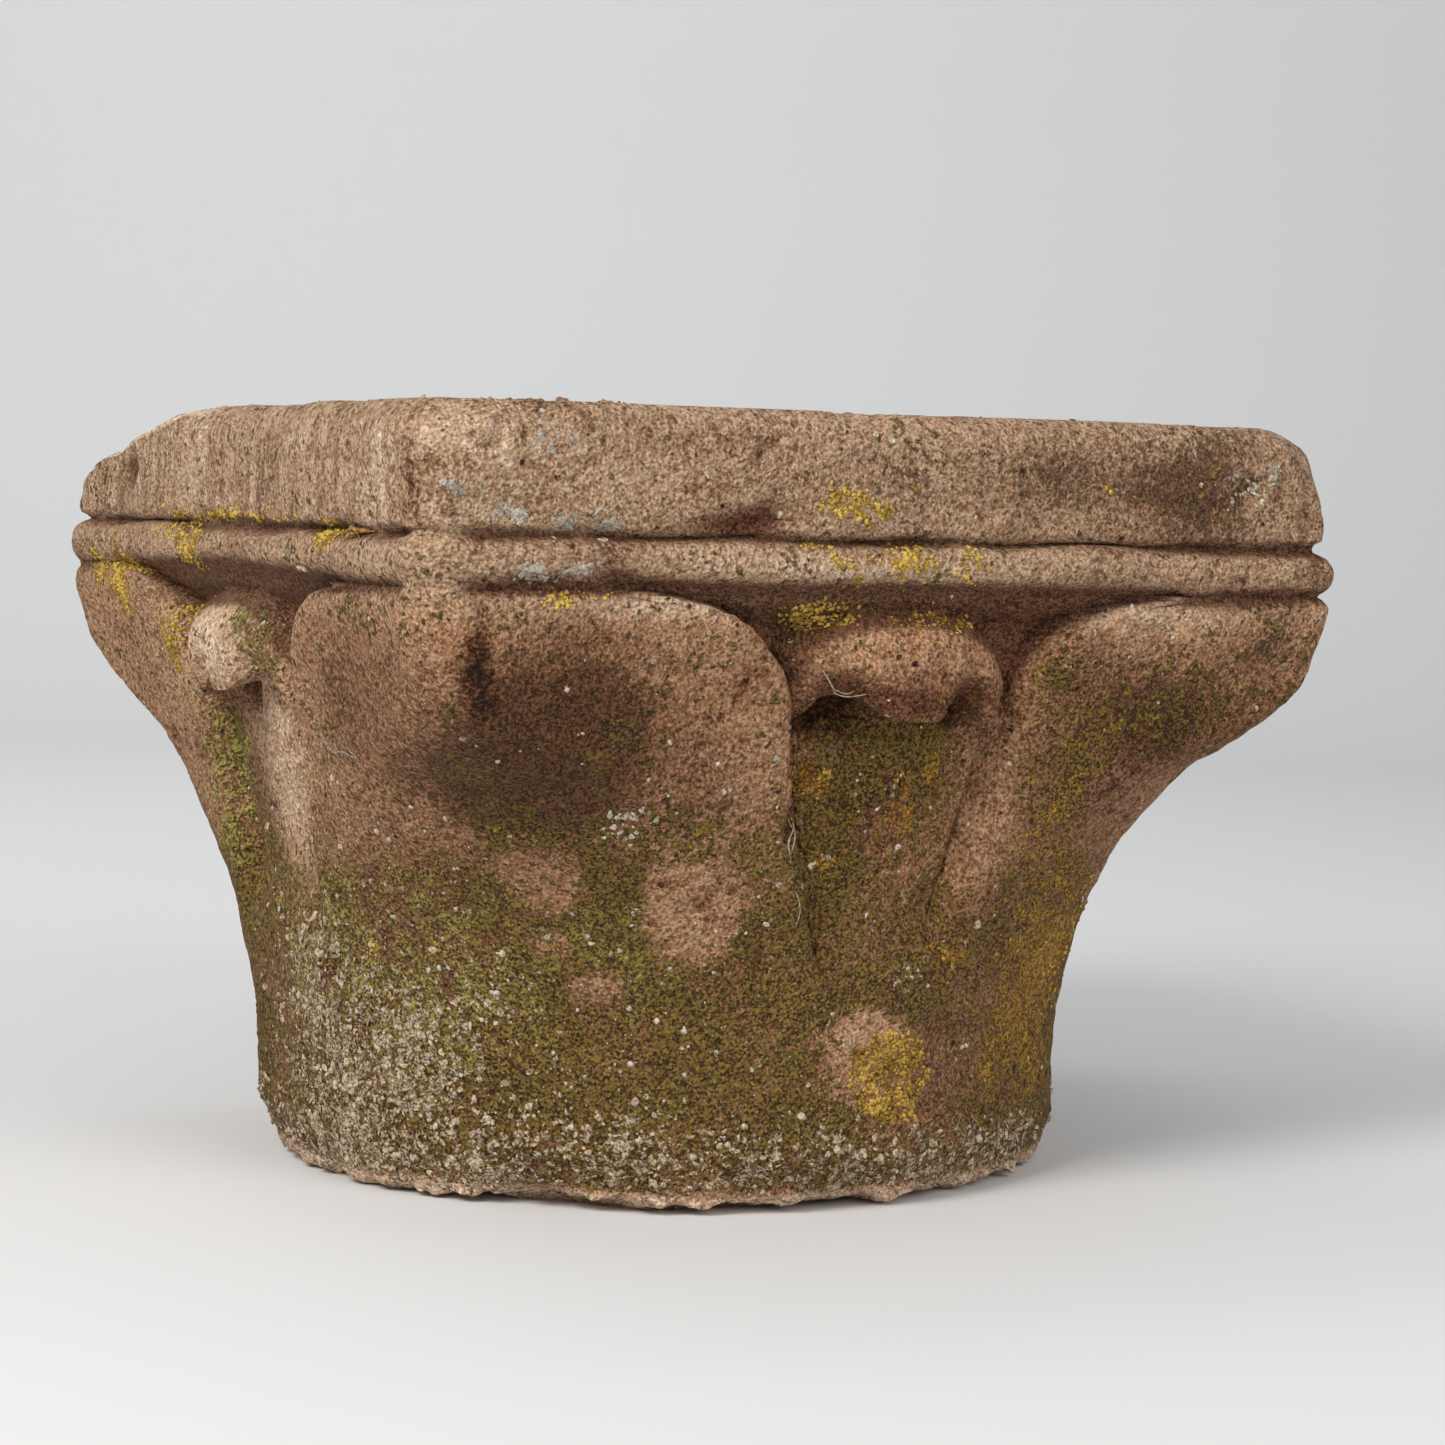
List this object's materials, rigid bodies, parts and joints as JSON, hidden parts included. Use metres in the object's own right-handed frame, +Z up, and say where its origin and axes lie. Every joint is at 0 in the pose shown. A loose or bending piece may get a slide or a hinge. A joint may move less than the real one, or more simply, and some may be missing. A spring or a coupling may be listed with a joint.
{
  "type": "stone capital",
  "caption": "Weathered sandstone column capital: round neck, broad corner leaves, a curled tongue on each face, and a square moulded abacus.",
  "frame": {"origin": "middle of the lower bed, on the surface the capital stands on", "axes": "+Z up the axis to the upper bed; the front face looks along -Y, and the corner broken off the upper bed is at -X +Y"},
  "size_m": [0.57, 0.57, 0.436],
  "materials": {
    "sandstone": "rough weathered sandstone with moss and lichen"
  },
  "bodies": {
    "root": {"capital": "sandstone"}
  },
  "joints": []
}
